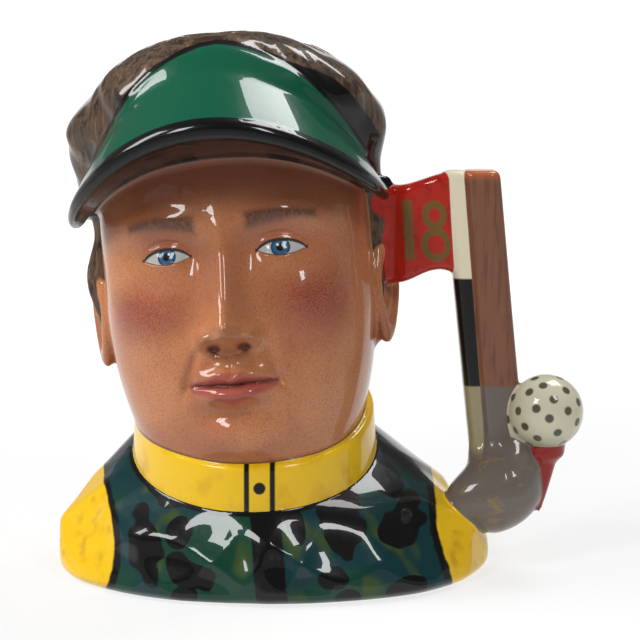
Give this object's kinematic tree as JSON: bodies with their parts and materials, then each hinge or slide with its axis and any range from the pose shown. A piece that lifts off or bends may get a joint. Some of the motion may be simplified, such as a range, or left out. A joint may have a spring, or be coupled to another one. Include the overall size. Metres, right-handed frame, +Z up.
{
  "type": "toby jug",
  "caption": "Small glazed character jug: a golfer's head and shoulders with an eyeshade, open at the top, and a handle of a flag, club, ball and tee.",
  "frame": {"origin": "middle of the flat underside, on the surface it stands on", "axes": "+Z up through the jug, -Y the way the figure faces, +X towards the handle"},
  "size_m": [0.1054, 0.0726, 0.1075],
  "materials": {
    "glaze": "hand-painted fired ceramic under a clear high-gloss glaze"
  },
  "bodies": {
    "root": {"toby_jug": "glaze"}
  },
  "joints": []
}
